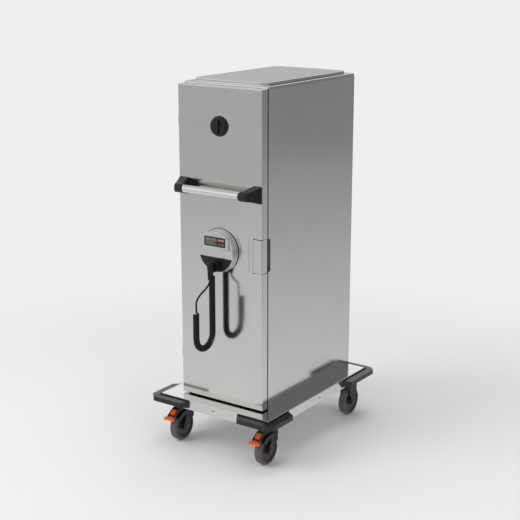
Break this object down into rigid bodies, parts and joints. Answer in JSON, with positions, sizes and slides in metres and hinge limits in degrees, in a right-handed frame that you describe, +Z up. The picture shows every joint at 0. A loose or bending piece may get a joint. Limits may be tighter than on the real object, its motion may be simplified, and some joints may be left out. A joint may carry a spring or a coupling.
{
  "type": "heated food transport container",
  "caption": "Tall narrow stainless cabinet on castors with a hinged insulated door, a heater unit with a parked mains cord, a push bar, a rotary vent and corner bumpers.",
  "frame": {"origin": "on the floor below the middle of the base plate", "axes": "+Z up, door front towards -Y, door hinges at -X"},
  "size_m": [0.628, 0.9061, 1.5436],
  "materials": {
    "stainless": "satin stainless sheet",
    "liner_steel": "plain stainless sheet",
    "galvanised": "zinc plated",
    "insulation": "foam",
    "black_plastic": "fine grain",
    "grey_plastic": "fine grain",
    "black_steel": "black finish",
    "black_rubber": "soft",
    "silver_housing": "satin silver",
    "display_pane": "dark gloss",
    "fan_aluminium": "plain",
    "element_steel": "heat tinted",
    "cord_rubber": "smooth",
    "bumper_plastic": "moulded grain",
    "fork_black": "moulded",
    "wheel_core": "moulded",
    "tyre_grey": "smooth grey rubber",
    "pedal_orange": "moulded"
  },
  "bodies": {
    "chassis": {"base_plate": "stainless", "skirt_inserts": "black_steel", "castor_channels": "galvanised", "castor_plates": "galvanised", "castor_bolts": "galvanised", "outer_shell": "stainless", "inner_liner": "liner_steel", "body_insulation": "insulation", "front_frame": "black_plastic", "finger_cup": "grey_plastic", "rear_forks": "fork_black", "rear_axles": "black_steel", "top_lid": "stainless", "runner_rails_left": "liner_steel", "runner_rails_right": "liner_steel", "hinge_body_leaves": "galvanised", "hinge_pins": "galvanised", "bumper_front_left": "bumper_plastic", "bumper_front_right": "bumper_plastic", "bumper_rear_left": "bumper_plastic", "bumper_rear_right": "bumper_plastic"},
    "door": {"grip_backing": "black_plastic", "door_outer_skin": "stainless", "door_inner_skin": "liner_steel", "door_insulation": "insulation", "door_gasket": "black_rubber", "door_grip": "stainless", "hinge_door_leaves": "galvanised", "push_bar": "stainless", "handle_bracket_left": "black_plastic", "handle_bracket_right": "black_plastic", "vent_port": "black_plastic", "vent_inner_grille": "liner_steel", "heater_seal": "black_rubber", "heater_bezel": "silver_housing", "display_window": "display_pane", "plug_holder": "black_plastic", "heater_drum": "liner_steel", "fan_motor": "galvanised", "heating_element": "element_steel", "fan_guard": "liner_steel", "mains_plug": "cord_rubber", "mains_cord_coil": "cord_rubber", "mains_cord_tail": "cord_rubber"},
    "vent_knob": {"vent_knob": "black_plastic"},
    "fan": {"fan_impeller": "fan_aluminium"},
    "wheel_front_left": {"wheel_core_front_left": "wheel_core", "tyre_front_left": "tyre_grey"},
    "wheel_front_right": {"wheel_core_front_right": "wheel_core", "tyre_front_right": "tyre_grey"},
    "wheel_rear_left": {"wheel_core_rear_left": "wheel_core", "tyre_rear_left": "tyre_grey"},
    "wheel_rear_right": {"wheel_core_rear_right": "wheel_core", "tyre_rear_right": "tyre_grey"},
    "front_castor_left": {"front_fork_left": "fork_black", "axle_front_left": "black_steel"},
    "brake_left": {"brake_pedal_left": "pedal_orange"},
    "front_castor_right": {"front_fork_right": "fork_black", "axle_front_right": "black_steel"},
    "brake_right": {"brake_pedal_right": "pedal_orange"}
  },
  "joints": [
    {"name": "door_hinge", "type": "hinge", "parent": "chassis", "child": "door", "pos_m": [-0.214, -0.28475, 0], "axis": [0, 0, -1], "range_deg": [0, 180]},
    {"name": "vent_turn", "type": "hinge", "parent": "door", "child": "vent_knob", "pos_m": [0, -0.3211, 1.37], "axis": [0, 1, 0], "range_deg": [0, 90]},
    {"name": "fan_spin", "type": "hinge", "parent": "door", "child": "fan", "pos_m": [0, -0.3211, 0.8716], "axis": [0, 1, 0], "continuous": true},
    {"name": "castor_swivel_left", "type": "hinge", "parent": "chassis", "child": "front_castor_left", "pos_m": [-0.22, -0.2791, 0], "axis": [0, 0, 1], "continuous": true},
    {"name": "front_wheel_spin_left", "type": "hinge", "parent": "front_castor_left", "child": "wheel_front_left", "pos_m": [-0.22, -0.3171, 0.0625], "axis": [1, 0, 0], "continuous": true},
    {"name": "rear_wheel_spin_left", "type": "hinge", "parent": "chassis", "child": "wheel_rear_left", "pos_m": [-0.22, 0.3391, 0.0625], "axis": [1, 0, 0], "continuous": true},
    {"name": "brake_pedal_tilt_left", "type": "hinge", "parent": "front_castor_left", "child": "brake_left", "pos_m": [-0.22, -0.3836, 0.1215], "axis": [1, 0, 0], "range_deg": [0, 18]},
    {"name": "castor_swivel_right", "type": "hinge", "parent": "chassis", "child": "front_castor_right", "pos_m": [0.22, -0.2791, 0], "axis": [0, 0, 1], "continuous": true},
    {"name": "front_wheel_spin_right", "type": "hinge", "parent": "front_castor_right", "child": "wheel_front_right", "pos_m": [0.22, -0.3171, 0.0625], "axis": [1, 0, 0], "continuous": true},
    {"name": "rear_wheel_spin_right", "type": "hinge", "parent": "chassis", "child": "wheel_rear_right", "pos_m": [0.22, 0.3391, 0.0625], "axis": [1, 0, 0], "continuous": true},
    {"name": "brake_pedal_tilt_right", "type": "hinge", "parent": "front_castor_right", "child": "brake_right", "pos_m": [0.22, -0.3836, 0.1215], "axis": [1, 0, 0], "range_deg": [0, 18]}
  ]
}
